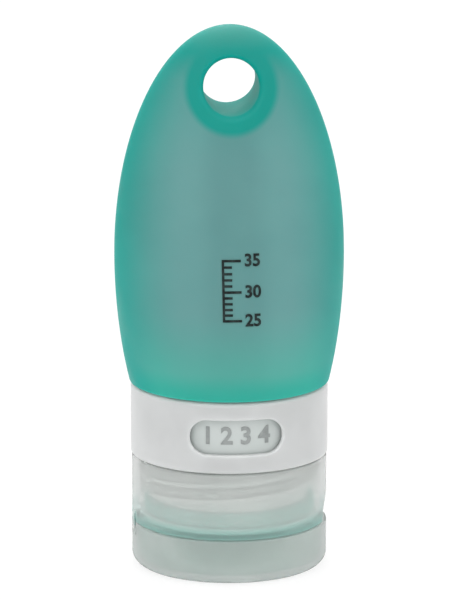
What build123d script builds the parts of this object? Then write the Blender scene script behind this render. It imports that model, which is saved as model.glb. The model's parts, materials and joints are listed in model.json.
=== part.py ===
from build123d import *
from math import atan2, hypot, pi, sin, sqrt
import os

# A soft travel bottle that stands upside down on its flip cap. Z runs up the neck's axis from the
# flat face of the closed lid, the label window looks along -Y, the lid's hinge is at -X and the
# thumb notch at +X. Every length is in millimetres.

# Clearances
turn_gap = 0.3            # between pieces that turn or slide past each other
seat_gap = 0.1            # round a piece that is pressed into or onto another
face_gap = 0.15           # between the sealing washer and the faces on both sides of it
seam_gap = 0.2            # between the rims of the closed lid and the cap
overrun = 1.0             # how far a cutter reaches past the face that it cuts

# Heights of the stack, from the lid's flat face up
lid_height = 8.7          # to the middle of the seam
neck_reach = 8.3          # how far the neck ring reaches down into the cap
collar_height = 13.7

# Silicone bottle
base_step = 0.2           # from the collar's side out to the foot of the bottle
belly_swell = 2.85        # from there out to the widest place
belly_rise = 24.7         # from the foot up to the widest place
crown_reach = 43.6        # semi-height of the ellipse above the widest place
crown_depth_share = 0.45  # thickness over width at the hang hole
taper_power = 1.4         # how late the round base starts to flatten
bottle_wall = 1.8
foot_round = 1.2
crown_solid = 5.8         # solid silicone above the hollow
stations = 14             # ellipses that the skin runs through

# Hang hole
hole_r = 5.25
hole_drop = 11.0          # from the top down to the hole's centre
hole_wall = 3.35          # solid ring round the hole
hole_round = 1.2

# Silicone neck and its sealing lip
neck_bore_r = 11.5
neck_wall = 1.6
lip_overhang = 1.1        # past the root of the thread
lip_thick = 2.7

# Neck ring
ring_wall = 1.7           # at the thread
label_step = 0.5          # from the thread's root out to the label's seat
bearing_step = 0.6        # from the label's seat out to the collar's bearing
flange_thick = 1.0
rim_round = 0.3

# Label ring
label_wall = 1.7

# Window collar
collar_wall = 1.2
collar_lip = 1.0          # thickness of the inward lip that the flange carries
shoulder_round = 0.9
window_width = 17.3
window_height = 6.7
window_corner = 3.2
window_drop = 6.8         # from the collar's top edge down to the window's centre
window_round = 0.35

# Screw cap
cap_wall = 1.9
lip_clearance = 0.6       # between the bottle's lip and the cap's wall
deck_thick = 1.5
deck_drop = 0.9           # how far the deck lies below the seam
deck_step = 1.5           # width of the ledge that the lid's rim lies on
cap_rim_round = 0.4
notch_depth = 1.3
notch_height = 5.6

# Spout, with the slit valve in it
spout_r = 8.3
spout_wall = 1.1
spout_clearance = 1.4     # between the lid's floor and the retainer in the spout's mouth
seat_width = 1.6          # of the ledge above the valve, in from the spout's bore
valve_seat = 1.2          # thickness of that ledge
valve_flange = 1.3
valve_rise = 1.2
valve_skin = 0.6
slit_length = 6.0
slit_width = 0.15
retainer_wall = 1.2
retainer_flange = 0.6

# Flip lid
lid_wall = 1.2
lid_floor = 1.4
lid_round = 2.4
lid_inner_round = 1.2
seal_clearance = 1.5      # between the spout and the sealing ring round it
seal_ring_wall = 1.0
spigot_clearance = 0.9    # between the spigot and the retainer round it
spigot_wall = 0.9
spigot_drop = 0.6         # from the valve's flange down to the spigot's end

# Hinge strap, a thin film across the seam
strap_width = 6.4
pocket_width = 8.0
pocket_reach = 2.4        # above and below the seam
film_thick = 0.3
film_bend = 0.6           # bare film on each side of the axis

# Sealing washer
washer_thick = 0.9
washer_width = 4.1

# Heights that follow
seam_z = lid_height
deck_z = seam_z - deck_drop
deck_top_z = deck_z + deck_thick
lip_z = deck_top_z + washer_thick + 2 * face_gap
neck_end_z = lip_z + lip_thick
cap_rim_z = neck_end_z + neck_reach
collar_z = cap_rim_z + turn_gap
collar_top_z = collar_z + collar_height
base_z = collar_top_z + turn_gap
belly_z = base_z + belly_rise
top_z = belly_z + crown_reach
hole_z = top_z - hole_drop
flange_z = collar_z + turn_gap
flange_top_z = flange_z + flange_thick
label_z = flange_top_z + collar_lip + 2 * turn_gap
window_z = collar_top_z - window_drop
spout_z = lid_floor + spout_clearance + retainer_flange
seat_z = deck_z - valve_seat

# Radii that follow, from the neck's bore out to the cap
neck_r = neck_bore_r + neck_wall
ring_bore_r = neck_r + seat_gap
thread_root_r = ring_bore_r + ring_wall
label_seat_r = thread_root_r + label_step
bearing_r = label_seat_r + bearing_step
label_r = label_seat_r + seat_gap + label_wall
collar_bore_r = label_r + turn_gap
collar_r = collar_bore_r + collar_wall
lip_r = thread_root_r + lip_overhang
cap_bore_r = lip_r + lip_clearance
cap_r = cap_bore_r + cap_wall
lid_bore_r = cap_r - lid_wall
pocket_x = sqrt(cap_r**2 - (pocket_width / 2) ** 2)

# Radii that follow in the spout and the lid
spout_bore_r = spout_r - spout_wall
orifice_r = spout_bore_r - seat_width
retainer_bore_r = spout_bore_r - seat_gap - retainer_wall
spigot_r = retainer_bore_r - spigot_clearance
seal_ring_r = spout_r + seal_clearance + seal_ring_wall

# The bottle's front outline, two half ellipses that meet at the widest place
base_half_width = collar_r + base_step
belly_half_width = base_half_width + belly_swell
foot_reach = belly_rise / sqrt(1 - (base_half_width / belly_half_width) ** 2)


def turned(*corners):
    """A solid turned about the neck's axis from (radius, height, rounding) corners."""
    places = [(radius, height) for radius, height, rounding in corners]
    roundings = [rounding for radius, height, rounding in corners]
    outline = FilletPolyline(*places, radius=roundings, close=True)
    return revolve(Plane.XZ * make_face(outline), Axis.Z)


def upright_cylinder(radius, low, high):
    """A cylinder on the neck's axis between two heights."""
    return Pos(0, 0, (low + high) / 2) * Cylinder(radius, high - low)


def cross_cylinder(radius, length, height):
    """A cylinder along Y through the bottle's axis."""
    return Pos(0, 0, height) * Rot(90, 0, 0) * Cylinder(radius, length)


def height_share(height):
    """How far up its half ellipse a height lies, from the widest place at 0 to the top at 1."""
    return (height - belly_z) / (crown_reach if height > belly_z else foot_reach)


def half_width(height):
    """The front outline: an ellipse whose lower half reaches further than its upper half."""
    return belly_half_width * sqrt(max(0, 1 - height_share(height) ** 2))


def half_depth(height):
    """The side outline: as deep as it is wide at the base, and flatter up to the hang hole."""
    climb = min(1, (height - base_z) / (hole_z - base_z))
    flattening = (1 - crown_depth_share) * sin(climb * pi / 2) ** taper_power
    return half_width(height) * (1 - flattening)


def station_heights(low, high):
    """Heights of the skin's ellipses, closer together towards the crown."""
    first = atan2(height_share(low), half_width(low) / belly_half_width)
    last = atan2(height_share(high), half_width(high) / belly_half_width)
    for step in range(stations + 1):
        angle = first + (last - first) * step / stations
        reach = crown_reach if angle > 0 else foot_reach
        yield belly_z + reach * sin(angle)


def skin(low, high, inset):
    """The bottle's smooth form between two heights, taken in all round by an inset."""
    sections = []
    for height in station_heights(low, high):
        if height < top_z - seat_gap:
            ellipse = Ellipse(half_width(height) - inset, half_depth(height) - inset)
            sections.append(Pos(0, 0, height) * ellipse)
        else:
            sections.append(Vertex(0, 0, height))
    return loft(sections)


def bottle_body():
    """Hollow silicone bottle: skin, solid eye round the hang hole, neck and sealing lip."""
    bottle = skin(base_z, top_z, 0)
    bottle = fillet(bottle.edges().group_by(Axis.Z)[0], foot_round)
    hollow = skin(base_z + bottle_wall, top_z - crown_solid, bottle_wall)
    hollow -= cross_cylinder(hole_r + hole_wall, 4 * belly_half_width, hole_z)
    bottle -= hollow
    bottle -= cross_cylinder(hole_r, 4 * belly_half_width, hole_z)
    rims = [edge for edge in bottle.edges() if is_hole_rim(edge)]
    bottle = fillet(rims, hole_round)
    bottle += turned(
        (0, lip_z, 0),
        (lip_r, lip_z, rim_round),
        (lip_r, neck_end_z, 0),
        (neck_r, neck_end_z, 0),
        (neck_r, base_z + bottle_wall / 2, 0),
        (0, base_z + bottle_wall / 2, 0),
    )
    return bottle - upright_cylinder(neck_bore_r, lip_z - overrun, base_z + bottle_wall + overrun)


def is_hole_rim(edge):
    """Whether an edge is one of the hang hole's two outer rims."""
    spot = edge @ 0.25
    on_bore = abs(hypot(spot.X, spot.Z - hole_z) - hole_r) < seat_gap
    return on_bore and edge.is_closed


def neck_ring():
    """Hard ring on the silicone neck: thread sleeve, flange, collar bearing and label seat."""
    return turned(
        (ring_bore_r, neck_end_z, 0),
        (thread_root_r, neck_end_z, rim_round),
        (thread_root_r, flange_z, 0),
        (label_r, flange_z, rim_round),
        (label_r, flange_top_z, 0),
        (bearing_r, flange_top_z, 0),
        (bearing_r, label_z, 0),
        (label_seat_r, label_z, 0),
        (label_seat_r, base_z, 0),
        (ring_bore_r, base_z, 0),
    )


def label_ring():
    """Translucent band behind the window, pressed onto the neck ring."""
    return turned(
        (label_seat_r + seat_gap, label_z, 0),
        (label_r, label_z, 0),
        (label_r, base_z, 0),
        (label_seat_r + seat_gap, base_z, 0),
    )


def window_collar():
    """White collar that turns on the neck ring, with one window onto the label ring."""
    lip_low_z = flange_top_z + turn_gap
    lip_high_z = lip_low_z + collar_lip
    collar = turned(
        (collar_r, collar_z, cap_rim_round),
        (collar_r, collar_top_z, shoulder_round),
        (collar_bore_r, collar_top_z, 0),
        (collar_bore_r, lip_high_z, 0),
        (bearing_r + turn_gap, lip_high_z, 0),
        (bearing_r + turn_gap, lip_low_z, 0),
        (collar_bore_r, lip_low_z, 0),
        (collar_bore_r, collar_z, 0),
    )
    opening = Plane.XZ * Pos(0, window_z) * RectangleRounded(window_width, window_height, window_corner)
    collar -= extrude(opening, amount=collar_r + overrun)
    frame = [edge for edge in collar.edges() if is_window_frame(edge)]
    return fillet(frame, window_round)


def is_window_frame(edge):
    """Whether an edge lies round the window on the collar's outer face."""
    spot = edge @ 0.5
    on_face = abs(hypot(spot.X, spot.Y) - collar_r) < seat_gap
    in_width = abs(spot.X) < window_width / 2 + seat_gap
    in_height = abs(spot.Z - window_z) < window_height / 2 + seat_gap
    return on_face and in_width and in_height and spot.Y < 0


def hinge_pocket():
    """Flat pocket across the seam that gives the hinge strap a straight line to bend on."""
    depth = cap_r - pocket_x + overrun
    return Pos(-pocket_x - depth / 2, 0, seam_z) * Box(depth, pocket_width, 2 * pocket_reach)


def strap_leaf(side):
    """Half of the hinge strap, above the seam for side 1 and below it for side -1."""
    length = pocket_reach - film_bend
    height = seam_z + side * (film_bend + length / 2)
    return Pos(-pocket_x - film_thick / 2, 0, height) * Box(film_thick, strap_width, length)


def cap_base():
    """Clear screw cap: skirt, deck, spout, thumb notch and the upper half of the hinge strap."""
    ledge_z = seam_z + seam_gap / 2
    cap = turned(
        (orifice_r, seat_z, 0),
        (spout_bore_r, seat_z, 0),
        (spout_bore_r, spout_z, 0),
        (spout_r, spout_z, 0),
        (spout_r, deck_z, 0),
        (cap_r - deck_step, deck_z, rim_round),
        (cap_r - deck_step, ledge_z, 0),
        (cap_r, ledge_z, rim_round),
        (cap_r, cap_rim_z, cap_rim_round),
        (cap_bore_r, cap_rim_z, rim_round),
        (cap_bore_r, deck_top_z, 0),
        (spout_bore_r, deck_top_z, rim_round),
        (spout_bore_r, deck_z, 0),
        (orifice_r, deck_z, 0),
    )
    scoop_r = (notch_height**2 + notch_depth**2) / (2 * notch_depth)
    scoop = Pos(cap_r - notch_depth + scoop_r, 0, ledge_z) * Rot(90, 0, 0) * Cylinder(scoop_r, 2 * cap_r)
    return cap - scoop - hinge_pocket() + strap_leaf(1)


def sealing_washer():
    """Flat washer between the cap's deck and the bottle's lip."""
    outer_r = cap_bore_r - turn_gap
    return turned(
        (outer_r - washer_width, deck_top_z + face_gap, 0),
        (outer_r, deck_top_z + face_gap, 0),
        (outer_r, lip_z - face_gap, 0),
        (outer_r - washer_width, lip_z - face_gap, 0),
    )


def slit_valve():
    """Silicone disc with a thick rim and a thin dome cut by a cross of slits."""
    rim_r = spout_bore_r - seat_gap
    dome_r = orifice_r - turn_gap
    rim_z = seat_z - valve_flange
    rim = turned(
        (dome_r, rim_z, 0),
        (rim_r, rim_z, 0),
        (rim_r, seat_z, 0),
        (dome_r, seat_z, 0),
    )
    ball_r = (dome_r**2 + valve_rise**2) / (2 * valve_rise)
    ball = Pos(0, 0, seat_z - valve_skin + valve_rise - ball_r)
    dome = (ball * Sphere(ball_r) - ball * Sphere(ball_r - valve_skin)) & upright_cylinder(
        dome_r + seat_gap, rim_z, seat_z + valve_rise
    )
    slit_height = 2 * (valve_rise + valve_skin)
    slits = Box(slit_length, slit_width, slit_height) + Box(slit_width, slit_length, slit_height)
    return rim + dome - Pos(0, 0, seat_z) * slits


def valve_retainer():
    """Ring pressed into the spout's mouth to hold the valve against its seat."""
    return turned(
        (retainer_bore_r, spout_z - retainer_flange, 0),
        (spout_r, spout_z - retainer_flange, rim_round),
        (spout_r, spout_z, 0),
        (spout_bore_r - seat_gap, spout_z, 0),
        (spout_bore_r - seat_gap, seat_z - valve_flange, 0),
        (retainer_bore_r, seat_z - valve_flange, 0),
    )


def flip_lid():
    """Clear lid with its sealing ring, its spigot and the lower half of the hinge strap."""
    rim_z = seam_z - seam_gap / 2
    lid = turned(
        (0, 0, 0),
        (cap_r, 0, lid_round),
        (cap_r, rim_z, rim_round),
        (lid_bore_r, rim_z, 0),
        (lid_bore_r, lid_floor, lid_inner_round),
        (0, lid_floor, 0),
    )
    seal_top_z = deck_z - turn_gap
    lid += turned(
        (seal_ring_r - seal_ring_wall, lid_floor / 2, 0),
        (seal_ring_r, lid_floor / 2, 0),
        (seal_ring_r, seal_top_z, rim_round),
        (seal_ring_r - seal_ring_wall, seal_top_z, rim_round),
    )
    spigot_top_z = seat_z - valve_flange - spigot_drop
    lid += turned(
        (spigot_r - spigot_wall, lid_floor / 2, 0),
        (spigot_r, lid_floor / 2, 0),
        (spigot_r, spigot_top_z, rim_round),
        (spigot_r - spigot_wall, spigot_top_z, rim_round),
    )
    return lid - hinge_pocket() + strap_leaf(-1)


pieces = {
    "bottle_body": bottle_body,
    "neck_ring": neck_ring,
    "label_ring": label_ring,
    "window_collar": window_collar,
    "sealing_washer": sealing_washer,
    "cap_base": cap_base,
    "slit_valve": slit_valve,
    "valve_retainer": valve_retainer,
    "flip_lid": flip_lid,
}

os.makedirs("parts", exist_ok=True)
for name, make in pieces.items():
    piece = make()
    export_step(piece, f"parts/{name}.step")
    print(name, round(piece.volume), "mm3")
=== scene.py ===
import json
from math import asin, atan2, cos, hypot, pi, radians, sin, sqrt

import bmesh
import bpy
from mathutils import Matrix, Vector


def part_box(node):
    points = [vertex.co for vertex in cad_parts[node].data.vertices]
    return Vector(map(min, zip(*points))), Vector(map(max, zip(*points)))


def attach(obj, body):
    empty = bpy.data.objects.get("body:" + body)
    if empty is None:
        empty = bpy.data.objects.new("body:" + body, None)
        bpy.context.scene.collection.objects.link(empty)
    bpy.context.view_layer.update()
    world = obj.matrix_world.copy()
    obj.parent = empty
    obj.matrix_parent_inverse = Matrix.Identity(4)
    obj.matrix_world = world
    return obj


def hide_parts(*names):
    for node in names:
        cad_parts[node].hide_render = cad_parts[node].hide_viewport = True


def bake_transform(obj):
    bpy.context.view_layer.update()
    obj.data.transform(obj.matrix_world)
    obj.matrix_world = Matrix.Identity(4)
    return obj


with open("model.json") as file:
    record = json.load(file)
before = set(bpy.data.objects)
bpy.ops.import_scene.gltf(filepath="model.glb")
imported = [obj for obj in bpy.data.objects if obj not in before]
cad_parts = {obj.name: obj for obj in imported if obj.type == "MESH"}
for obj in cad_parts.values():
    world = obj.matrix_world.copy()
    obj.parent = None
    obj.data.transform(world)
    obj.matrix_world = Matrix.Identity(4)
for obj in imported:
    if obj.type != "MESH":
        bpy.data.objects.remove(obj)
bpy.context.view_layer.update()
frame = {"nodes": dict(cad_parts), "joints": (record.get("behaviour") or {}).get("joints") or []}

# A soft travel bottle that stands upside down on its flip cap. Lengths are in metres, and Z runs up
# the neck's axis from the closed lid's flat face. The window looks along -Y and the hinge is at -X.

MM = 0.001
ML = 1e-6
FULL_TURN = 2 * pi

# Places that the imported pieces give
bottle_low, bottle_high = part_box("bottle_body")
label_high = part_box("label_ring")[1]
lid_hinge = next(Vector(joint["pos_m"]) for joint in frame["joints"] if joint["name"] == "lid_flip")
lip_z = bottle_low.z
neck_end_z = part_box("neck_ring")[0].z
top_z = bottle_high.z
hinge_x = lid_hinge.x
seam_z = lid_hinge.z
collar_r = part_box("window_collar")[1].x
label_r = label_high.x
belly_half_width = bottle_high.x

# Silicone bottle
foot_drop = 0.15 * MM
base_step = 0.2 * MM
crown_reach = 43.6 * MM
crown_depth_share = 0.45
taper_power = 1.4
bottle_wall = 1.8 * MM
foot_round = 0.4 * MM
crown_solid = 5.8 * MM
hole_r = 5.25 * MM
hole_drop = 11.0 * MM
hole_wall = 3.35 * MM
hole_round = 1.2 * MM
neck_bore_r = 11.5 * MM
neck_r = 13.1 * MM
lip_r = 16.0 * MM
lip_round = 0.3 * MM
ridge_count = 118
ridge_depth = 0.22 * MM

# Outline of the silicone skin, two half ellipses that meet at the widest place
base_z = label_high.z - foot_drop
belly_z = top_z - crown_reach
hole_z = top_z - hole_drop
base_half_width = collar_r + base_step
foot_reach = (belly_z - base_z) / sqrt(1 - (base_half_width / belly_half_width) ** 2)

# Mesh of the skin and of the pieces that are cut out of it or joined to it
skin_columns = 144
foot_rows = 16
crown_rows = 48
hollow_rows = 40
neck_columns = 144
bore_columns = 120
eye_columns = 96
hole_round_steps = 7
foot_round_steps = 5
patch_rows = (19, 35)
patch_half_columns = 12
patch_band = 1.95 * MM
relaxed_rows = (9, 44)
relaxed_half_columns = 31
relax_rounds = 40
relax_share = 0.5
least_half_width = 0.01 * MM
same_place = 0.001 * MM

# Angles in degrees past which an edge stays sharp
plain_sharp_angle = 30
silicone_sharp_angle = 28
thread_sharp_angle = 35

# Two-start threads on the neck ring and inside the cap
thread_lead = 6.0 * MM
thread_starts = 2
thread_half_width = 0.85 * MM
thread_crest_share = 0.45
thread_steps = 80
thread_runout_share = 0.09
thread_angle_slack = 0.01
thread_sink = 0.1 * MM
neck_thread_root_r = 14.9 * MM
neck_thread_crest_r = 16.35 * MM
neck_thread_turns = 0.9
neck_thread_rise = 1.3 * MM
cap_thread_root_r = 16.6 * MM
cap_thread_crest_r = 16.05 * MM
cap_thread_turns = 0.72

# Label characters, plain digits round the label ring
label_places = 30
places_in_window = 5
digit_size = 4.6 * MM
digit_weight = 0.12 * MM
digit_thick = 0.12 * MM
label_z = 28.7 * MM
letter_steps = 4

# Fill scale printed on the front
marked_volumes = (25 * ML, 30 * ML, 35 * ML)
marks_between = 5
scale_x = -2.6 * MM
mark_thick = 0.45 * MM
long_mark = 3.6 * MM
short_mark = 1.9 * MM
numeral_size = 3.1 * MM
numeral_weight = 0.09 * MM
numeral_gap = 0.6 * MM
ink_thick = 0.04 * MM
fill_step = 0.05 * MM

# Living hinge
film_width = 6.4 * MM
film_thick = 0.3 * MM
film_waist_share = 0.6
film_reach = 0.6 * MM
film_rows = 12

# Green of the silicone, from the solid stretches to the thin walls
solid_dark = (0.002, 0.31, 0.265, 1)
solid_light = (0.003, 0.335, 0.285, 1)
front_dark = (0.125, 0.305, 0.3, 1)
front_light = (0.137, 0.325, 0.317, 1)
# The side colours are a painted soft highlight: the thin walls lighter towards their sides than in the
# front's middle
side_highlight_dark = (0.142, 0.34, 0.333, 1)
side_highlight_light = (0.154, 0.36, 0.35, 1)
# Painted light that the white collar throws up onto the foot
foot_painted_collar_light = (0.085, 0.53, 0.42, 1)
# Painted highlight on the top of the crown
crown_painted_highlight = (0.16, 0.38, 0.33, 1)
# Painted shade in the grooves of the lip, and the green of its ridges
groove_painted_shade = (0.002, 0.36, 0.30, 1)
ridge_dark = (0.004, 0.66, 0.54, 1)
ridge_light = (0.006, 0.72, 0.59, 1)

# Where the thin walls' colour starts and ends, as shares of the half width and as lengths from the
# hang hole's ring, the foot and the top
# Where the painted soft highlight on the walls' sides starts and is full, as shares of the half width
side_highlight_shares = (0.12, 0.4)
wall_edge_shares = (0.45, 1.0)
wall_edge_power = 1.6
least_width_squared = 0.001
ring_fade = (-0.7 * MM, 0.9 * MM)
foot_fade = (0.8 * MM, 5.7 * MM)
foot_fade_share = 0.85
low_fade = (0.8 * MM, 16 * MM)
low_fade_share = 0.15
top_fade = (4 * MM, 10 * MM)
top_fade_share = 0.75
high_fade = (8 * MM, 28 * MM)
high_fade_share = 0.25

# Painted light from the white collar on the foot, a painted highlight on the top of the crown, and
# parting line of the mould
foot_painted_light_fade = (18 * MM, 1 * MM)
foot_painted_light_share = 0.5
foot_painted_light_edge_shares = (1.0, 0.7)
crown_highlight_reach = 5 * MM
crown_highlight_share = 0.35
parting_line = (0.18 * MM, 0.05 * MM)
parting_share = 0.5

# Painted green light from the silicone lip on the cap, above and below the seam, and how far the painted
# light in the lid's pale middle reaches
cap_lip_light_above = (3.3 * MM, 0.3 * MM)
cap_lip_light_below = (3.9 * MM, 3.1 * MM)
lid_core_light_reach = (11 * MM, 15 * MM)

# Grain, clouds and wear. A grain and its clouds are scales of a noise: the higher, the finer
silicone_grain = 2600.0
silicone_clouds = 70.0
silicone_bump = 0.06 * MM
plastic_clouds = 110.0
plastic_bump = 0.03 * MM
ink_grain = 4500.0
ink_clouds = 900.0
ink_bump = 0.02 * MM
cloud_shares = (0.3, 0.7)
rubbed_shares = (0.48, 0.72)
lined_shares = (0.62, 0.78)
rubbed_weight = 0.6
lines_per_metre = 9000.0

# Room and floor, with their light as multiples of white
room_light = 0.8
white_light = 1.0
floor_light = 1.05
floor_light_share = 0.8
floor_half_width = 1.5
floor_drop = 0.05 * MM

# Camera, with its lens and sensor in millimetres
view_distance = 1.2
view_elevation = radians(13.3)
view_azimuth = radians(-4.5)
view_aim = Vector((-0.7 * MM, 0, 51.0 * MM))
view_lens = 380.4
view_sensor = 36
view_clip = 0.01


def height_share(height):
    """How far up its half ellipse a height lies, from the widest place at 0 to the top at 1."""
    return (height - belly_z) / (crown_reach if height > belly_z else foot_reach)


def half_width(height):
    """Half the bottle's width at a height."""
    return belly_half_width * sqrt(max(0, 1 - height_share(height) ** 2))


def half_depth(height):
    """Half the bottle's thickness at a height."""
    climb = min(1, max(0, (height - base_z) / (hole_z - base_z)))
    return half_width(height) * (1 - (1 - crown_depth_share) * sin(climb * pi / 2) ** taper_power)


def skin_depth(x, height):
    """Distance of the bottle's skin from the middle plane at a place on its front outline."""
    across = x / max(half_width(height), least_half_width)
    return half_depth(height) * sqrt(max(0, 1 - across**2))


def mark_sharp(bm, angle):
    """Shades the faces smooth and keeps the edges that turn by more than an angle sharp."""
    for face in bm.faces:
        face.smooth = True
    for edge in bm.edges:
        edge.smooth = len(edge.link_faces) == 2 and edge.calc_face_angle(0) < radians(angle)


def new_object(bm, name, sharp_angle=plain_sharp_angle):
    """Puts a finished bmesh into the scene as an object at the origin."""
    mark_sharp(bm, sharp_angle)
    mesh = bpy.data.meshes.new(name)
    bm.to_mesh(mesh)
    bm.free()
    obj = bpy.data.objects.new(name, mesh)
    bpy.context.scene.collection.objects.link(obj)
    return obj


def edges_of(verts):
    """The edges that meet at vertices, each once and in a steady order."""
    return list(dict.fromkeys(edge for vert in verts for edge in vert.link_edges))


def add_ring(bm, half_x, half_y, height, columns):
    """A closed loop of vertices at a height, and its edges."""
    place = Matrix.Translation((0, 0, height)) @ Matrix.Diagonal((half_x, half_y, 1, 1))
    verts = bmesh.ops.create_circle(bm, segments=columns, radius=1, matrix=place)["verts"]
    return verts, edges_of(verts)


def bridge_rings(bm, rings):
    """Joins each loop of edges to the next with a band of faces."""
    for lower, upper in zip(rings, rings[1:]):
        bmesh.ops.bridge_loops(bm, edges=lower[1] + upper[1])


def combine(obj, other, operation):
    """Cuts another object out of one or joins it to it, and removes the other."""
    tool = obj.modifiers.new(operation.lower(), "BOOLEAN")
    tool.operation = operation
    tool.object = other
    tool.solver = "EXACT"
    shown = obj.evaluated_get(bpy.context.evaluated_depsgraph_get())
    result = bpy.data.meshes.new_from_object(shown)
    obj.modifiers.clear()
    obj.data = result
    bpy.data.objects.remove(other)


def outer_skin():
    """Closed outer form of the bottle, with the hang hole through it and its rims rounded."""
    bm = bmesh.new()
    foot_angle = asin((base_z - belly_z) / foot_reach)
    angles = [foot_angle * (1 - row / foot_rows) for row in range(foot_rows)]
    angles += [pi / 2 * row / crown_rows for row in range(crown_rows)]
    rings = []
    for angle in angles:
        height = belly_z + (crown_reach if angle > 0 else foot_reach) * sin(angle)
        rings.append(add_ring(bm, half_width(height), half_depth(height), height, skin_columns))
    bridge_rings(bm, rings)
    apex = bmesh.ops.extrude_edge_only(bm, edges=rings[-1][1])["geom"]
    apex_verts = [item for item in apex if isinstance(item, bmesh.types.BMVert)]
    bmesh.ops.pointmerge(bm, verts=apex_verts, merge_co=(0, 0, top_z))
    bmesh.ops.contextual_create(bm, geom=rings[0][1])
    base_edges = rings[0][1]
    grid = [verts for verts, edges in rings]
    rims = [open_hole(bm, grid, side) for side in (-1, 1)]
    bmesh.ops.bridge_loops(bm, edges=rims[0] + rims[1])
    bmesh.ops.bevel(bm, geom=rims[0] + rims[1], offset=hole_round, offset_type="OFFSET",
                    segments=hole_round_steps, profile=0.5, affect="EDGES", material=-1)
    bmesh.ops.bevel(bm, geom=[edge for edge in base_edges if edge.is_valid], offset=foot_round,
                    offset_type="OFFSET", segments=foot_round_steps, profile=0.5, affect="EDGES",
                    material=-1)
    bmesh.ops.recalc_face_normals(bm, faces=bm.faces)
    return new_object(bm, "silicone_bottle")


def column_step(column, side):
    """How many columns a column lies from the middle of the front or the back."""
    middle = skin_columns // 2 if side < 0 else 0
    return (column - middle + skin_columns // 2) % skin_columns - skin_columns // 2


def settle(verts, side):
    """Puts vertices that were moved across the outline back onto the skin."""
    for vert in verts:
        vert.co.y = side * skin_depth(vert.co.x, vert.co.z)


def open_hole(bm, grid, side):
    """Opens a round hole in one side of the skin's grid of rows and columns, and returns its rim."""
    patch_r = hole_r + patch_band
    patch, patch_edge, moved = set(), [], []
    for row, ring in enumerate(grid):
        crown_row = row - foot_rows
        for column, vert in enumerate(ring):
            step = abs(column_step(column, side))
            if patch_rows[0] <= crown_row <= patch_rows[1] and step <= patch_half_columns:
                patch.add(vert)
                if crown_row in patch_rows or step == patch_half_columns:
                    patch_edge.append(vert)
                else:
                    moved.append(vert)
            elif relaxed_rows[0] < crown_row < relaxed_rows[1] and step < relaxed_half_columns:
                moved.append(vert)
    patch_edge.sort(key=lambda vert: atan2(vert.co.z - hole_z, vert.co.x) % FULL_TURN)
    top = patch_edge.index(max(patch_edge, key=lambda vert: vert.co.z - abs(vert.co.x)))
    for index, vert in enumerate(patch_edge):
        angle = pi / 2 + FULL_TURN * (index - top) / len(patch_edge)
        vert.co.x = patch_r * cos(angle)
        vert.co.z = hole_z + patch_r * sin(angle)
    settle(patch_edge, side)
    for turn in range(relax_rounds):
        bmesh.ops.smooth_vert(bm, verts=moved, factor=relax_share, use_axis_x=True, use_axis_z=True)
        settle(moved, side)
    faces = [face for face in bm.faces if all(vert in patch for vert in face.verts)]
    bmesh.ops.inset_region(bm, faces=faces, thickness=patch_band, use_even_offset=True)
    bmesh.ops.delete(bm, geom=faces, context="FACES")
    rim = [edge for edge in bm.edges if edge.is_boundary and (edge.verts[0].co.y > 0) == (side > 0)]
    rim_verts = {vert for edge in rim for vert in edge.verts}
    for vert in rim_verts:
        reach = hypot(vert.co.x, vert.co.z - hole_z)
        vert.co.x *= hole_r / reach
        vert.co.z = hole_z + (vert.co.z - hole_z) * hole_r / reach
    settle(rim_verts, side)
    return rim


def hollow():
    """The room inside the bottle, with the solid ring round the hang hole taken out of it."""
    bm = bmesh.new()
    low, high = base_z + bottle_wall, top_z - crown_solid
    first, last = asin(height_share(low)), asin(height_share(high))
    rings = []
    for row in range(hollow_rows + 1):
        angle = first + (last - first) * row / hollow_rows
        height = belly_z + (crown_reach if angle > 0 else foot_reach) * sin(angle)
        across, along = half_width(height) - bottle_wall, half_depth(height) - bottle_wall
        rings.append(add_ring(bm, across, along, height, skin_columns // 2))
    bridge_rings(bm, rings)
    for ends in (rings[0], rings[-1]):
        bmesh.ops.contextual_create(bm, geom=ends[1])
    bmesh.ops.recalc_face_normals(bm, faces=bm.faces)
    room = new_object(bm, "hollow")
    through = Matrix.Translation((0, 0, hole_z)) @ Matrix.Rotation(pi / 2, 4, "X")
    eye = cylinder("eye", hole_r + hole_wall, 4 * belly_half_width, through, eye_columns)
    combine(room, eye, "DIFFERENCE")
    return room


def cylinder(name, radius, length, place, columns):
    """A cylinder about the middle of its length."""
    bm = bmesh.new()
    bmesh.ops.create_cone(bm, cap_ends=True, segments=columns, radius1=radius, radius2=radius,
                          depth=length, matrix=place)
    return new_object(bm, name)


def post(name, radius, low, high, columns):
    """A cylinder on the neck's axis, from one height to another."""
    return cylinder(name, radius, high - low, Matrix.Translation((0, 0, (low + high) / 2)), columns)


def ridged_lip():
    """The silicone lip that seals in the cap, with fine ridges round its edge."""
    bm = bmesh.new()
    levels = ((lip_z, lip_r - lip_round), (lip_z + lip_round, lip_r), (neck_end_z, lip_r))
    rings = []
    for level, radius in levels:
        verts, edges = add_ring(bm, radius, radius, level, 2 * ridge_count)
        for vert in verts[::2]:
            vert.co.xy *= 1 - ridge_depth / radius
        rings.append((verts, edges))
    bridge_rings(bm, rings)
    for ends in (rings[0], rings[-1]):
        bmesh.ops.contextual_create(bm, geom=ends[1])
    bmesh.ops.recalc_face_normals(bm, faces=bm.faces)
    return new_object(bm, "lip")


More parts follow.
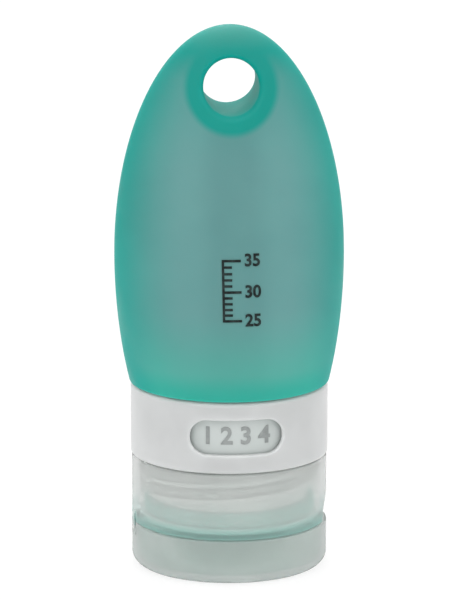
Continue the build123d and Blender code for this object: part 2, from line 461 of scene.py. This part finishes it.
def silicone_bottle():
    """The whole silicone moulding: skin, neck and lip, hollow right through."""
    bottle = outer_skin()
    overlap = bottle_wall / 2
    combine(bottle, post("neck", neck_r, neck_end_z - overlap, base_z + overlap, neck_columns), "UNION")
    combine(bottle, ridged_lip(), "UNION")
    combine(bottle, hollow(), "DIFFERENCE")
    bore_high = base_z + bottle_wall + overlap
    combine(bottle, post("bore", neck_bore_r, lip_z - overlap, bore_high, bore_columns), "DIFFERENCE")
    bm = bmesh.new()
    bm.from_mesh(bottle.data)
    bmesh.ops.remove_doubles(bm, verts=bm.verts, dist=same_place)
    mark_sharp(bm, silicone_sharp_angle)
    bm.to_mesh(bottle.data)
    bm.free()
    return bottle


def helical_thread(name, root_r, crest_r, low, turns):
    """Ridges that wind up a cylinder, each with its ends run out into it."""
    bm = bmesh.new()
    outwards = 1 if crest_r > root_r else -1
    whole_angle = FULL_TURN * turns
    square_on = Matrix.Rotation(pi / 4, 4, "Z")
    for start in range(thread_starts):
        first_angle = FULL_TURN * start / thread_starts
        corners = bmesh.ops.create_circle(bm, segments=4, radius=sqrt(2), matrix=square_on)["verts"]
        for vert in corners:
            on_crest = vert.co.x > 0
            reach = crest_r if on_crest else root_r - outwards * thread_sink
            rise = vert.co.y * thread_half_width * (thread_crest_share if on_crest else 1)
            vert.co = Vector((reach * cos(first_angle), reach * sin(first_angle), low + rise))
        edges = edges_of(corners)
        step_rise = Vector((0, 0, thread_lead * turns / thread_steps))
        ridge = bmesh.ops.spin(bm, geom=corners + edges, cent=(0, 0, 0), axis=(0, 0, 1),
                               dvec=step_rise, angle=whole_angle, steps=thread_steps, use_merge=False)
        last = [item for item in ridge["geom_last"] if isinstance(item, bmesh.types.BMEdge)]
        for ends in (edges, last):
            bmesh.ops.contextual_create(bm, geom=ends)
        for vert in [vert for vert in bm.verts if not vert.tag]:
            angle = atan2(vert.co.y, vert.co.x) - first_angle + thread_angle_slack
            gone = angle % FULL_TURN / whole_angle
            from_end = min(gone, 1 - gone) / thread_runout_share
            radius = hypot(vert.co.x, vert.co.y)
            height = max(0, outwards * (radius - root_r))
            if from_end < 1:
                lowered = 1 - sin(max(0, from_end) * pi / 2)
                vert.co.xy *= (radius - outwards * height * lowered) / radius
            vert.tag = True
    bmesh.ops.recalc_face_normals(bm, faces=bm.faces)
    return new_object(bm, name, thread_sharp_angle)


def lettering(text, size, weight, align="CENTER"):
    """Flat text as a mesh that stands upright in the plane of X and Z, about its middle height."""
    curve = bpy.data.curves.new("lettering", "FONT")
    curve.body = text
    curve.size = size
    curve.offset = weight
    curve.align_x = align
    curve.align_y = "CENTER"
    curve.resolution_u = letter_steps
    carrier = bpy.data.objects.new("lettering", curve)
    bpy.context.scene.collection.objects.link(carrier)
    shown = carrier.evaluated_get(bpy.context.evaluated_depsgraph_get())
    flat = bpy.data.meshes.new_from_object(shown)
    bpy.data.objects.remove(carrier)
    flat.transform(Matrix.Rotation(pi / 2, 4, "X"))
    return flat


def printed(bm, name, thick, sink, wrap):
    """Gives flat marks their thickness on a curved wall, where wrap puts each of their places."""
    bmesh.ops.remove_doubles(bm, verts=bm.verts, dist=same_place)
    bmesh.ops.recalc_face_normals(bm, faces=bm.faces)
    shown = bmesh.ops.extrude_face_region(bm, geom=bm.faces[:], use_keep_orig=True)
    raised = {item for item in shown["geom"] if isinstance(item, bmesh.types.BMVert)}
    for vert in bm.verts:
        vert.co = wrap(vert.co, thick if vert in raised else -sink)
    bmesh.ops.recalc_face_normals(bm, faces=bm.faces)
    return new_object(bm, name)


def label_digits():
    """Plain digits all round the label ring, in groups as wide as the window with a gap after each."""
    bm = bmesh.new()
    pitch = FULL_TURN / label_places
    for place in range(label_places):
        group, place_in_group = divmod(place, places_in_window)
        if place_in_group == places_in_window - 1:
            continue
        digit = (place - group + 1) % 10
        flat = lettering(str(digit), digit_size, digit_weight)
        offset = (place + 1 - places_in_window / 2) * pitch * label_r
        flat.transform(Matrix.Translation((offset, 0, label_z)))
        bm.from_mesh(flat)
        bpy.data.meshes.remove(flat)

    def wrap(spot, lift):
        angle = spot.x / label_r - pi / 2
        return Vector(((label_r + lift) * cos(angle), (label_r + lift) * sin(angle), spot.z))

    return printed(bm, "label_digits", digit_thick, digit_thick, wrap)


def fill_heights(volumes):
    """Heights that the liquid reaches in the bottle as it stands on its cap."""
    height, held, heights = lip_z, 0, []
    for volume in volumes:
        while held < volume:
            height += fill_step
            if height < base_z + bottle_wall:
                area = pi * neck_bore_r**2
            else:
                area = pi * (half_width(height) - bottle_wall) * (half_depth(height) - bottle_wall)
            held += area * fill_step
        heights.append(height)
    return heights


def fill_scale():
    """A plain scale on the front, with a mark for each unit of volume and a number for every fifth."""
    bm = bmesh.new()
    unit = (marked_volumes[1] - marked_volumes[0]) / marks_between
    count = round((marked_volumes[-1] - marked_volumes[0]) / unit)
    heights = fill_heights([marked_volumes[0] + unit * step for step in range(count + 1)])
    half = mark_thick / 2
    bars = [(scale_x, scale_x + mark_thick, heights[0] - half, heights[-1] + half)]
    for step, height in enumerate(heights):
        length = short_mark if step % marks_between else long_mark
        bars.append((scale_x + mark_thick, scale_x + length, height - half, height + half))
    for left, right, low, high in bars:
        middle = Matrix.Translation(((left + right) / 2, 0, (low + high) / 2))
        size = Matrix.Diagonal(((right - left) / 2, 1, (high - low) / 2, 1))
        place = middle @ size @ Matrix.Rotation(pi / 2, 4, "X")
        across = max(1, round((right - left) / mark_thick))
        along = max(1, round((high - low) / mark_thick))
        bmesh.ops.create_grid(bm, x_segments=across, y_segments=along, size=1, matrix=place)
    for volume, height in zip(marked_volumes, heights[::marks_between]):
        flat = lettering(str(round(volume / ML)), numeral_size, numeral_weight, "LEFT")
        flat.transform(Matrix.Translation((scale_x + long_mark + numeral_gap, 0, height)))
        bm.from_mesh(flat)
        bpy.data.meshes.remove(flat)

    def wrap(spot, lift):
        return Vector((spot.x, -skin_depth(spot.x, spot.z) - lift, spot.z))

    return printed(bm, "fill_scale", ink_thick, ink_thick, wrap)


def hinge_film():
    """The thin film between the two leaves of the strap, thinnest where it bends."""
    bm = bmesh.new()
    size = Matrix.Diagonal((film_thick, film_width, 2 * film_reach, 1))
    bmesh.ops.create_cube(bm, size=1, matrix=Matrix.Translation((hinge_x, 0, seam_z)) @ size)
    upright = [edge for edge in bm.edges if abs(edge.verts[0].co.z - edge.verts[1].co.z) > film_reach]
    bmesh.ops.subdivide_edges(bm, edges=upright, cuts=film_rows - 1, use_grid_fill=True)
    for vert in bm.verts:
        across = abs(vert.co.z - seam_z) / film_reach
        thick_share = film_waist_share + (1 - film_waist_share) * across**2
        vert.co.x = hinge_x + (vert.co.x - hinge_x) * thick_share
    bmesh.ops.recalc_face_normals(bm, faces=bm.faces)
    return new_object(bm, "hinge_film")


def node(tree, kind, **sockets):
    """A node with the values or links of its named input sockets."""
    made = tree.nodes.new("ShaderNode" + kind)
    for name, value in sockets.items():
        fill(tree, made.inputs[name.replace("_", " ")], value)
    return made


def fill(tree, socket, value):
    """Links a socket to another one, or gives it a value."""
    if isinstance(value, bpy.types.NodeSocket):
        tree.links.new(value, socket)
    else:
        socket.default_value = value


def reckon(tree, operation, *values):
    """The result of a sum on values or sockets."""
    made = tree.nodes.new("ShaderNodeMath")
    made.operation = operation
    for socket, value in zip(made.inputs, values):
        fill(tree, socket, value)
    return made.outputs["Value"]


def fade(tree, value, start, stop, first=0.0, last=1.0, smooth=True):
    """A value that goes from first to last while another one goes from start to stop."""
    made = node(tree, "MapRange", Value=value, From_Min=start, From_Max=stop, To_Min=first, To_Max=last)
    made.interpolation_type = "SMOOTHSTEP" if smooth else "LINEAR"
    return made.outputs["Result"]


def blend_colours(tree, share, first, second):
    """The first colour where the share is 0 and the second where it is 1."""
    made = tree.nodes.new("ShaderNodeMix")
    made.data_type = "RGBA"
    fill(tree, made.inputs["Factor"], share)
    fill(tree, made.inputs[6], first)
    fill(tree, made.inputs[7], second)
    return made.outputs[2]


def spot_of(tree):
    """Where a point of the surface lies, as one vector."""
    return tree.nodes.new("ShaderNodeTexCoord").outputs["Object"]


def axes_of(tree, spot):
    """The X, Y and Z of a vector."""
    return node(tree, "SeparateXYZ", Vector=spot).outputs


def new_group(name, inputs, outputs):
    """A shader node group with named inputs and outputs. Inputs are given with their first values."""
    group = bpy.data.node_groups.new(name, "ShaderNodeTree")
    for socket_name, value in inputs.items():
        socket = group.interface.new_socket(socket_name, in_out="INPUT", socket_type="NodeSocketFloat")
        socket.default_value = value
    for socket_name in outputs:
        group.interface.new_socket(socket_name, in_out="OUTPUT", socket_type="NodeSocketFloat")
    given = group.nodes.new("NodeGroupInput").outputs
    asked = group.nodes.new("NodeGroupOutput").inputs
    return group, given, asked


def use_group(tree, group, **sockets):
    """A shader node group placed in a material, with its values, as its named outputs."""
    made = tree.nodes.new("ShaderNodeGroup")
    made.node_tree = group
    for name, value in sockets.items():
        fill(tree, made.inputs[name], value)
    return made.outputs


def moulded_grain_group():
    """Fine grain of a moulded surface, and the soft clouds in its colour."""
    first_values = {"Grain": 3000.0, "Clouds": 90.0}
    group, given, asked = new_group("moulded_grain", first_values, ("Height", "Cloud"))
    spot = spot_of(group)
    fine = node(group, "TexNoise", Vector=spot, Scale=given["Grain"], Detail=3.0, Roughness=0.6)
    soft = node(group, "TexNoise", Vector=spot, Scale=given["Clouds"], Detail=2.0, Roughness=0.45)
    fill(group, asked["Height"], fine.outputs["Fac"])
    fill(group, asked["Cloud"], fade(group, soft.outputs["Fac"], *cloud_shares))
    return group


def handling_group():
    """Marks that hands leave: rubbed patches, and fine lines round a piece that is turned."""
    group, given, asked = new_group("handling", {"Patches": 60.0, "Lines": 1.0}, ("Rubbed", "Lined"))
    spot = spot_of(group)
    axes = axes_of(group, spot)
    patches = node(group, "TexNoise", Vector=spot, Scale=given["Patches"], Detail=4.0, Roughness=0.55,
                   Distortion=0.6)
    fill(group, asked["Rubbed"], fade(group, patches.outputs["Fac"], *rubbed_shares))
    turn = reckon(group, "ARCTAN2", axes["Y"], axes["X"])
    climb = reckon(group, "MULTIPLY", axes["Z"], lines_per_metre)
    round_way = node(group, "CombineXYZ", X=turn, Y=climb).outputs["Vector"]
    lines = node(group, "TexNoise", Vector=round_way, Scale=given["Lines"], Detail=2.0, Roughness=0.7)
    fill(group, asked["Lined"], fade(group, lines.outputs["Fac"], *lined_shares))
    return group


def add_material(name):
    """An empty node material with its output node."""
    material = bpy.data.materials.new(name)
    material.use_nodes = True
    material.node_tree.nodes.clear()
    output = material.node_tree.nodes.new("ShaderNodeOutputMaterial")
    return material, material.node_tree, output


def across_outline(tree):
    """How far a place is from the middle of the front outline, 0, to its edge, 1."""
    axes = axes_of(tree, spot_of(tree))
    rise = reckon(tree, "SUBTRACT", axes["Z"], belly_z)
    above = reckon(tree, "DIVIDE", reckon(tree, "MAXIMUM", rise, 0.0), crown_reach)
    below = reckon(tree, "DIVIDE", reckon(tree, "MINIMUM", rise, 0.0), foot_reach)
    above_squared = reckon(tree, "MULTIPLY", above, above)
    below_squared = reckon(tree, "MULTIPLY", below, below)
    width_squared = reckon(tree, "SUBTRACT", 1.0, reckon(tree, "ADD", above_squared, below_squared))
    width_share = reckon(tree, "SQRT", reckon(tree, "MAXIMUM", width_squared, least_width_squared))
    width = reckon(tree, "MULTIPLY", width_share, belly_half_width)
    return reckon(tree, "DIVIDE", reckon(tree, "ABSOLUTE", axes["X"]), width)


def thin_wall(tree, across):
    """How thin the silicone is behind its skin: 1 in the middle of the walls and 0 where it is solid."""
    axes = axes_of(tree, spot_of(tree))
    edge = fade(tree, across, *wall_edge_shares, smooth=False)
    inside = reckon(tree, "SUBTRACT", 1.0, reckon(tree, "POWER", edge, wall_edge_power))
    above_hole = reckon(tree, "SUBTRACT", axes["Z"], hole_z)
    across_squared = reckon(tree, "MULTIPLY", axes["X"], axes["X"])
    above_squared = reckon(tree, "MULTIPLY", above_hole, above_hole)
    reach = reckon(tree, "SQRT", reckon(tree, "ADD", across_squared, above_squared))
    beyond = fade(tree, reckon(tree, "SUBTRACT", reach, hole_r + hole_wall), *ring_fade)
    up = reckon(tree, "SUBTRACT", axes["Z"], base_z)
    down = reckon(tree, "SUBTRACT", top_z, axes["Z"])
    foot = fade(tree, up, *foot_fade, last=foot_fade_share)
    low = fade(tree, up, *low_fade, last=low_fade_share, smooth=False)
    top = fade(tree, down, *top_fade, last=top_fade_share)
    high = fade(tree, down, *high_fade, last=high_fade_share)
    walls = reckon(tree, "MULTIPLY", inside, beyond)
    ends = reckon(tree, "MULTIPLY", reckon(tree, "ADD", top, high), reckon(tree, "ADD", foot, low))
    return reckon(tree, "MULTIPLY", walls, ends)


def silicone_material():
    """Frosted silicone: deep green where it is solid, paler where the light comes through thin walls,
    with a painted soft highlight on the walls' sides, painted light from the collar on the foot and a
    painted highlight on the top of the crown.
    """
    material, tree, output = add_material("frosted_silicone")
    grain = use_group(tree, moulded_grain, Grain=silicone_grain, Clouds=silicone_clouds)
    marks = use_group(tree, handling, Patches=45.0, Lines=0.6)
    across = across_outline(tree)
    axes = axes_of(tree, spot_of(tree))
    solid = blend_colours(tree, grain["Cloud"], solid_dark, solid_light)
    # Painted soft highlight: the thin walls lighter towards their sides than in the front's middle
    side = blend_colours(tree, grain["Cloud"], side_highlight_dark, side_highlight_light)
    front = blend_colours(tree, grain["Cloud"], front_dark, front_light)
    thin = blend_colours(tree, fade(tree, across, *side_highlight_shares), front, side)
    colour = blend_colours(tree, thin_wall(tree, across), solid, thin)
    up = reckon(tree, "SUBTRACT", axes["Z"], base_z)
    # Painted light: the foot brighter green near the white collar, for the light the collar throws up
    # onto it
    from_collar = fade(tree, up, *foot_painted_light_fade, last=foot_painted_light_share)
    within = fade(tree, across, *foot_painted_light_edge_shares)
    colour = blend_colours(tree, reckon(tree, "MULTIPLY", from_collar, within), colour, foot_painted_collar_light)
    # Painted highlight: the top of the crown paler, for the light from above
    down = reckon(tree, "SUBTRACT", top_z, axes["Z"])
    on_crown = fade(tree, down, crown_highlight_reach, 0.0, last=crown_highlight_share)
    colour = blend_colours(tree, on_crown, colour, crown_painted_highlight)
    parting = fade(tree, reckon(tree, "ABSOLUTE", axes["Y"]), *parting_line, last=parting_share)
    height = reckon(tree, "ADD", parting, grain["Height"])
    bump = node(tree, "Bump", Height=height, Strength=0.25, Distance=silicone_bump)
    roughness = fade(tree, marks["Rubbed"], 0, 1, 0.55, 0.44)
    shader = node(tree, "BsdfPrincipled", Base_Color=colour, Roughness=roughness, IOR=1.41,
                  Specular_IOR_Level=0.32, Normal=bump.outputs["Normal"], Subsurface_Weight=1.0,
                  Subsurface_Scale=1.5 * MM, Subsurface_Radius=(1.0, 1.0, 1.0))
    fill(tree, output.inputs["Surface"], shader.outputs["BSDF"])
    return material


def lip_material():
    """The silicone of the lip inside the cap, with painted shade in the grooves between its ridges."""
    material, tree, output = add_material("ridged_silicone")
    grain = use_group(tree, moulded_grain, Grain=silicone_grain, Clouds=silicone_clouds)
    axes = axes_of(tree, spot_of(tree))
    turn = reckon(tree, "ARCTAN2", axes["Y"], axes["X"])
    wave = reckon(tree, "COSINE", reckon(tree, "MULTIPLY", turn, float(ridge_count)))
    ridge = blend_colours(tree, grain["Cloud"], ridge_dark, ridge_light)
    # Painted shade: darker in the grooves between the ridges, following their count round the lip
    colour = blend_colours(tree, fade(tree, wave, -1.0, 1.0), groove_painted_shade, ridge)
    bump = node(tree, "Bump", Height=grain["Height"], Strength=0.25, Distance=silicone_bump)
    shader = node(tree, "BsdfPrincipled", Base_Color=colour, Roughness=0.5, IOR=1.41,
                  Specular_IOR_Level=0.4, Normal=bump.outputs["Normal"])
    fill(tree, output.inputs["Surface"], shader.outputs["BSDF"])
    return material


def plastic_material(name, dull, bright, **finish):
    """Moulded plastic: two colours that cloud into each other, a fine grain and the marks of hands.

    Gloss is the roughness where it is clean and where it is worn, and Grain the scale of its grain.
    The seam tint is painted green light from the silicone lip near the seam, and the core colour is
    painted pale light round the axis. Through is the share of the light that a millimetre of the body
    lets through. The rest of the finish are the shader's own values.
    """
    material, tree, output = add_material(name)
    clean, worn = finish.pop("Gloss")
    through = finish.pop("Through", None)
    painted_core_light = finish.pop("Core", None)
    seam = finish.pop("Seam", None)
    grain = use_group(tree, moulded_grain, Grain=finish.pop("Grain"), Clouds=plastic_clouds)
    marks = use_group(tree, handling, Patches=80.0, Lines=0.8)
    colour = blend_colours(tree, grain["Cloud"], dull, bright)
    axes = axes_of(tree, spot_of(tree))
    # Painted light: the cap greener near the seam, for the teal light from the silicone lip inside
    if seam:
        from_above = fade(tree, reckon(tree, "SUBTRACT", axes["Z"], seam_z), *cap_lip_light_above)
        from_below = fade(tree, reckon(tree, "SUBTRACT", seam_z, axes["Z"]), *cap_lip_light_below)
        colour = blend_colours(tree, reckon(tree, "MULTIPLY", from_above, from_below), colour, seam)
    # Painted light: the lid paler and greener round its middle, under the lip and valve, for the teal
    # light that comes through them
    if painted_core_light:
        across_axis = node(tree, "CombineXYZ", X=axes["X"], Y=axes["Y"]).outputs["Vector"]
        reach = node(tree, "VectorMath", Vector=across_axis)
        reach.operation = "LENGTH"
        colour = blend_colours(tree, fade(tree, reach.outputs["Value"], *lid_core_light_reach), painted_core_light, colour)
    rubbed = reckon(tree, "MULTIPLY", marks["Rubbed"], rubbed_weight)
    wear = reckon(tree, "MAXIMUM", rubbed, marks["Lined"])
    bump = node(tree, "Bump", Height=grain["Height"], Strength=0.2, Distance=plastic_bump)
    roughness = fade(tree, wear, 0, 1, clean, worn)
    shader = node(tree, "BsdfPrincipled", Base_Color=colour, Roughness=roughness,
                  Normal=bump.outputs["Normal"], Subsurface_Radius=(1.0, 1.0, 1.0), **finish)
    fill(tree, output.inputs["Surface"], shader.outputs["BSDF"])
    if through:
        body = node(tree, "VolumeAbsorption", Color=through, Density=1 / MM)
        fill(tree, output.inputs["Volume"], body.outputs["Volume"])
    return material


def ink_material(name, thin, full):
    """Printing ink that covers unevenly."""
    material, tree, output = add_material(name)
    grain = use_group(tree, moulded_grain, Grain=ink_grain, Clouds=ink_clouds)
    colour = blend_colours(tree, grain["Cloud"], thin, full)
    bump = node(tree, "Bump", Height=grain["Height"], Strength=0.3, Distance=ink_bump)
    roughness = fade(tree, grain["Height"], *cloud_shares, 0.5, 0.7)
    shader = node(tree, "BsdfPrincipled", Base_Color=colour, Roughness=roughness,
                  Normal=bump.outputs["Normal"], Specular_IOR_Level=0.2)
    fill(tree, output.inputs["Surface"], shader.outputs["BSDF"])
    return material


def set_material(obj, material):
    """Gives an object one material."""
    obj.data.materials.clear()
    obj.data.materials.append(material)


def seen_directly(tree):
    """1 for what the camera sees, also in a mirror or through glass, and 0 for light on the object."""
    path = tree.nodes.new("ShaderNodeLightPath").outputs
    through = reckon(tree, "MAXIMUM", path["Is Glossy Ray"], path["Is Transmission Ray"])
    return reckon(tree, "MAXIMUM", path["Is Camera Ray"], through)


def blend_shaders(tree, share, first, second):
    """The first shader where the share is 0 and the second where it is 1."""
    mix = tree.nodes.new("ShaderNodeMixShader")
    for socket, value in zip(mix.inputs, (share, first, second)):
        fill(tree, socket, value)
    return mix.outputs["Shader"]


def floor():
    """A pale floor that keeps the bottle's shadow and meets the white background."""
    bm = bmesh.new()
    bmesh.ops.create_grid(bm, x_segments=1, y_segments=1, size=floor_half_width)
    obj = new_object(bm, "floor")
    obj.location.z = -floor_drop
    material, tree, output = add_material("pale_floor")
    share = reckon(tree, "MULTIPLY", seen_directly(tree), floor_light_share)
    plain = node(tree, "BsdfDiffuse", Color=(0.9, 0.9, 0.9, 1)).outputs["BSDF"]
    glow = node(tree, "Emission", Strength=floor_light).outputs["Emission"]
    fill(tree, output.inputs["Surface"], blend_shaders(tree, share, plain, glow))
    set_material(obj, material)


def backdrop():
    """White surroundings, a little softer as light than as a background."""
    world = bpy.data.worlds.new("white_room")
    bpy.context.scene.world = world
    world.use_nodes = True
    tree = world.node_tree
    tree.nodes.clear()
    output = tree.nodes.new("ShaderNodeOutputWorld")
    light = node(tree, "Background", Color=(1, 1, 1, 1), Strength=room_light).outputs["Background"]
    seen = node(tree, "Background", Color=(1, 1, 1, 1), Strength=white_light).outputs["Background"]
    fill(tree, output.inputs["Surface"], blend_shaders(tree, seen_directly(tree), light, seen))


def lamp(name, place, size, power):
    """A soft square lamp that looks at the bottle's middle."""
    data = bpy.data.lights.new(name, "AREA")
    data.size = size
    data.energy = power
    obj = bpy.data.objects.new(name, data)
    obj.location = place
    obj.rotation_mode = "QUATERNION"
    obj.rotation_quaternion = (Vector((0, 0, top_z / 2)) - Vector(place)).to_track_quat("-Z", "Y")
    bpy.context.scene.collection.objects.link(obj)


def camera():
    """The camera at the photograph's angle."""
    data = bpy.data.cameras.new("camera")
    data.lens = view_lens
    data.sensor_width = view_sensor
    data.clip_start = view_clip
    obj = bpy.data.objects.new("camera", data)
    level = cos(view_elevation)
    back = Vector((sin(view_azimuth) * level, -cos(view_azimuth) * level, sin(view_elevation)))
    obj.location = view_aim + back * view_distance
    obj.rotation_mode = "QUATERNION"
    obj.rotation_quaternion = (-back).to_track_quat("-Z", "Y")
    bpy.context.scene.collection.objects.link(obj)
    bpy.context.scene.camera = obj


def add_piece(obj, body, material):
    """Puts a new piece on its body, with its material."""
    set_material(obj, material)
    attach(obj, body)


# Materials
moulded_grain = moulded_grain_group()
handling = handling_group()
silicone = silicone_material()
white = plastic_material("satin_white", (0.59, 0.60, 0.60, 1), (0.64, 0.65, 0.65, 1),
                         Gloss=(0.3, 0.4), Grain=3500.0, Subsurface_Weight=1.0, Subsurface_Scale=2.5 * MM)
# The neck ring's white is painted brighter than the collar's, to make up for the shade inside the cap
neck_white_painted_bright = plastic_material("neck_white_painted_bright", (0.84, 0.86, 0.85, 1), (0.9, 0.91, 0.9, 1),
                              Gloss=(0.3, 0.4), Grain=3500.0)
# The cap's green near the seam is painted light from the silicone lip
clear = plastic_material("frosted_clear", (0.83, 0.86, 0.843, 1), (0.855, 0.88, 0.863, 1),
                         Gloss=(0.1, 0.14), Grain=3000.0, Transmission_Weight=0.64, IOR=1.03,
                         Subsurface_Weight=1.0, Subsurface_Scale=MM, Through=(0.985, 0.983, 0.984, 1),
                         Seam=(0.53, 0.785, 0.735, 1))
# The lid's paler, greener middle is painted light from the lip and valve above it
clear_lid = plastic_material("frosted_lid", (0.71, 0.777, 0.752, 1), (0.74, 0.802, 0.777, 1),
                             Gloss=(0.05, 0.09), Grain=3000.0, Transmission_Weight=0.64, IOR=1.02,
                             Subsurface_Weight=1.0, Subsurface_Scale=MM, Through=(0.968, 0.962, 0.964, 1),
                             Core=(0.78, 0.88, 0.845, 1))
label = plastic_material("gloss_label", (0.54, 0.585, 0.57, 1), (0.585, 0.62, 0.61, 1),
                         Gloss=(0.12, 0.22), Grain=2500.0)
washer_sheet = plastic_material("washer_sheet", (0.93, 0.95, 0.94, 1), (0.97, 0.98, 0.975, 1),
                                Gloss=(0.45, 0.6), Grain=1500.0)
valve_clear = plastic_material("valve_clear", (0.74, 0.80, 0.78, 1), (0.82, 0.86, 0.85, 1),
                               Gloss=(0.3, 0.4), Grain=2600.0, Transmission_Weight=0.4, IOR=1.41)
scale_ink = ink_material("scale_ink", (0.02, 0.035, 0.033, 1), (0.004, 0.008, 0.008, 1))
label_ink = ink_material("label_ink", (0.34, 0.36, 0.355, 1), (0.28, 0.30, 0.295, 1))

finishes = {
    "neck_ring": neck_white_painted_bright,
    "window_collar": white,
    "label_ring": label,
    "sealing_washer": washer_sheet,
    "cap_base": clear,
    "flip_lid": clear_lid,
    "valve_retainer": clear,
    "slit_valve": valve_clear,
}
for name, material in finishes.items():
    set_material(frame["nodes"][name], material)

# Pieces
bottle = silicone_bottle()
add_piece(bottle, "bottle", silicone)
bottle.data.materials.append(lip_material())
for face in bottle.data.polygons:
    face.material_index = int(face.center.z < neck_end_z)
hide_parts("bottle_body")
add_piece(fill_scale(), "bottle", scale_ink)
add_piece(label_digits(), "bottle", label_ink)
neck_thread_low = neck_end_z + neck_thread_rise
cap_thread_low = neck_thread_low + thread_lead / (2 * thread_starts)
neck_thread = helical_thread("neck_thread", neck_thread_root_r, neck_thread_crest_r, neck_thread_low,
                             neck_thread_turns)
cap_thread = helical_thread("cap_thread", cap_thread_root_r, cap_thread_crest_r, cap_thread_low,
                            cap_thread_turns)
add_piece(neck_thread, "bottle", neck_white_painted_bright)
add_piece(cap_thread, "cap", clear)
film = hinge_film()
set_material(film, clear)
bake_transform(film)

# Stage
floor()
backdrop()
lamp("key", place=(-0.5, -0.7, 0.8), size=0.5, power=2.0)
lamp("fill", place=(0.6, -0.5, 0.5), size=0.5, power=0.7)
lamp("top", place=(0.0, -0.15, 0.9), size=0.35, power=1.0)
lamp("crown", place=(0.0, 0.42, 0.85), size=0.3, power=2.6)
camera()
bpy.context.scene.view_settings.view_transform = "Standard"
